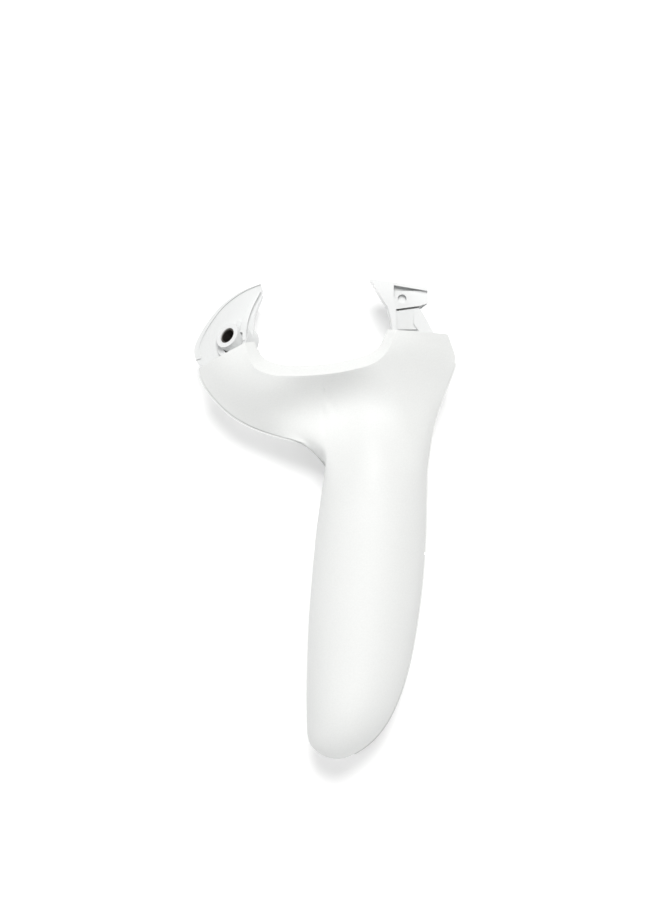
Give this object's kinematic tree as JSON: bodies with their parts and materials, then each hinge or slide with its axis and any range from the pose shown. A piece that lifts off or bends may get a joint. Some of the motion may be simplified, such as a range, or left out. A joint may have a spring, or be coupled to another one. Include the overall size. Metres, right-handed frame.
{
  "type": "vr motion controller",
  "caption": "Handle of a hand-held motion controller: round grip, flared collar with an open ring seat, ring arms, sliding battery door, grip button.",
  "frame": {"origin": "under the middle of the whole part, on the surface that it lies on", "axes": "+Y up the handle towards the ring arms, +X across the head, +Z out of the palm side"},
  "size_m": [0.0633, 0.1149, 0.0281],
  "materials": {
    "painted_skin": "fine-textured matt paint on moulded plastic",
    "frame_plastic": "plain moulding",
    "arm_plastic": "satin moulding",
    "dark_metal": "dark thread insert",
    "plated_steel": "plated",
    "cell_jacket": "printed sleeve without any marking",
    "foam": "closed-cell foam",
    "button_plastic": "satin moulding",
    "lever_plastic": "filled plastic",
    "board": "solder mask",
    "chip": "moulded package",
    "connector_plastic": "moulded connector",
    "flex": "polyimide film",
    "brass": "knurled insert"
  },
  "bodies": {
    "handle": {"palm_shell": "painted_skin", "finger_shell": "painted_skin", "collar_frame": "frame_plastic", "left_arm": "arm_plastic", "left_arm_insert": "dark_metal", "right_arm": "arm_plastic", "battery_tray": "frame_plastic", "battery_cell": "plated_steel", "battery_jacket": "cell_jacket", "negative_spring": "plated_steel", "positive_contact": "plated_steel", "strap_bar": "plated_steel", "grip_pin": "plated_steel", "grip_spring": "plated_steel", "main_board": "board", "motion_sensor": "chip", "radio_shield": "plated_steel", "hall_sensor": "chip", "flex_connector": "connector_plastic", "flex_cable": "flex", "vibration_motor": "plated_steel", "motor_foam": "foam", "shell_screws": "plated_steel", "screw_inserts": "brass"},
    "battery_door": {"battery_door": "painted_skin", "door_foam": "foam"},
    "grip_button": {"grip_button": "button_plastic", "grip_lever": "lever_plastic", "grip_magnet": "plated_steel"}
  },
  "joints": [
    {"name": "battery_door_slide", "type": "slide", "parent": "handle", "child": "battery_door", "axis": [-0.0931, -0.9957, 0], "range_m": [0, 0.008]},
    {"name": "grip_button_press", "type": "hinge", "parent": "handle", "child": "grip_button", "pos_m": [0.00587, 0.00993, 0.00724], "axis": [-0.7722, 0.0722, 0.6313], "range_deg": [0, 4.5], "stiffness_Nm_per_rad": 0.1}
  ]
}
